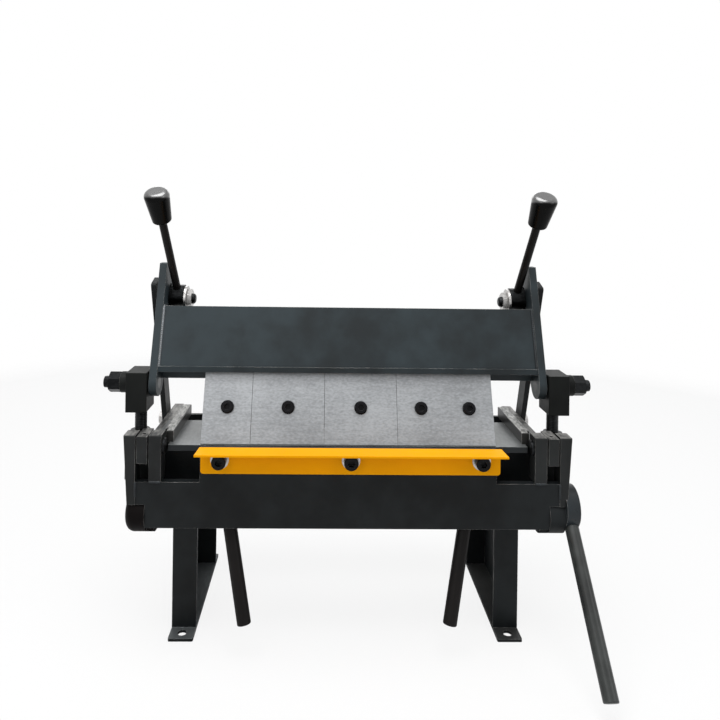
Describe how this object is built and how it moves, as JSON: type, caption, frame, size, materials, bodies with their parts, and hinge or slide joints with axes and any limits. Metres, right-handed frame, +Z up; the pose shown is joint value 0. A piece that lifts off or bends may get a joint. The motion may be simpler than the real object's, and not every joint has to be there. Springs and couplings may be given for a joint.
{
  "type": "box and pan brake",
  "caption": "Bench box and pan brake: removable clamping fingers on a cam-locked beam, hinged apron with guard angle and long bending handle, on bent sheet legs.",
  "frame": {"origin": "on the bench surface, in the middle of the four foot holes", "axes": "+X along the bend line to the user's right, +Y away from the user, +Z up"},
  "size_m": [0.52, 0.2857, 0.4734],
  "materials": {
    "body_paint": "satin grey-black paint with worn bright edges",
    "worn_paint": "satin grey-black paint, worn to bright steel on the edges",
    "beam_paint": "satin grey-black paint, slightly blue",
    "handle_paint": "satin black paint on round bar",
    "finger_steel": "ground steel, faintly mottled",
    "guard_yellow": "gloss yellow paint",
    "zinc_steel": "bright zinc plate",
    "dark_steel": "dark oiled steel",
    "black_screw": "black oxide",
    "knob_black": "gloss black plastic"
  },
  "bodies": {
    "base": {"leg_left": "body_paint", "leg_right": "body_paint", "bed_plate": "worn_paint", "bed_beam": "body_paint", "rear_cross_plate": "body_paint", "bed_rail_left": "worn_paint", "bed_rail_right": "worn_paint", "side_block_left": "worn_paint", "side_block_right": "worn_paint", "upright_left": "body_paint", "upright_right": "body_paint", "upright_bolts": "zinc_steel", "adjusting_studs": "dark_steel", "stud_nuts": "dark_steel", "cam_pins": "dark_steel", "cam_spacers": "zinc_steel", "cam_washers": "zinc_steel", "cam_nuts": "zinc_steel", "leg_bolts": "zinc_steel", "frame_nuts": "zinc_steel"},
    "pivot_block_left": {"pivot_block_left": "beam_paint"},
    "pivot_block_right": {"pivot_block_right": "beam_paint"},
    "upper_beam": {"beam_plate": "beam_paint", "beam_arm_left": "beam_paint", "beam_arm_right": "beam_paint", "beam_sole": "beam_paint", "finger_rail": "beam_paint", "finger_1": "finger_steel", "finger_2": "finger_steel", "finger_3": "finger_steel", "finger_4": "finger_steel", "finger_screws": "black_screw", "pivot_pins": "dark_steel", "pivot_nuts": "dark_steel"},
    "cam_lever_left": {"cam_hub_left": "dark_steel", "lever_rod_left": "handle_paint", "knob_left": "knob_black"},
    "cam_lever_right": {"cam_hub_right": "dark_steel", "lever_rod_right": "handle_paint", "knob_right": "knob_black"},
    "apron": {"apron_plate": "body_paint", "apron_arm_left": "worn_paint", "apron_arm_right": "worn_paint", "apron_lug_left": "worn_paint", "apron_lug_right": "worn_paint", "hinge_bolts": "dark_steel", "corner_boss_left": "body_paint", "corner_boss_right": "body_paint", "handle_hub": "body_paint", "bending_handle": "handle_paint", "pull_handle_left": "handle_paint", "pull_handle_right": "handle_paint", "handle_sockets": "body_paint", "guard_angle": "guard_yellow", "guard_screws": "black_screw", "guard_washers": "zinc_steel"}
  },
  "joints": [
    {"name": "apron_hinge", "type": "hinge", "parent": "base", "child": "apron", "pos_m": [0, -0.0955, 0.208], "axis": [-1, 0, 0], "range_deg": [0, 95]},
    {"name": "cam_lever_left_turn", "type": "hinge", "parent": "base", "child": "cam_lever_left", "pos_m": [-0.194, -0.0165, 0.348], "axis": [1, 0, 0], "range_deg": [-90, 0]},
    {"name": "cam_lever_right_turn", "type": "hinge", "parent": "base", "child": "cam_lever_right", "pos_m": [0.194, -0.0165, 0.348], "axis": [1, 0, 0], "range_deg": [-90, 0]},
    {"name": "pivot_block_left_slide", "type": "slide", "parent": "base", "child": "pivot_block_left", "axis": [0, 0, 1], "range_m": [0, 0.002]},
    {"name": "pivot_block_right_slide", "type": "slide", "parent": "base", "child": "pivot_block_right", "axis": [0, 0, 1], "range_m": [0, 0.002]},
    {"name": "beam_tilt", "type": "hinge", "parent": "pivot_block_left", "child": "upper_beam", "pos_m": [-0.222, -0.0655, 0.265], "axis": [1, 0, 0], "range_deg": [-3.05, 0]}
  ],
  "couplings": [
    {"joint": "cam_lever_right_turn", "follows": "cam_lever_left_turn", "ratio": 1},
    {"joint": "beam_tilt", "follows": "cam_lever_left_turn", "ratio": 0.033333},
    {"joint": "pivot_block_right_slide", "follows": "pivot_block_left_slide", "ratio": 1}
  ]
}
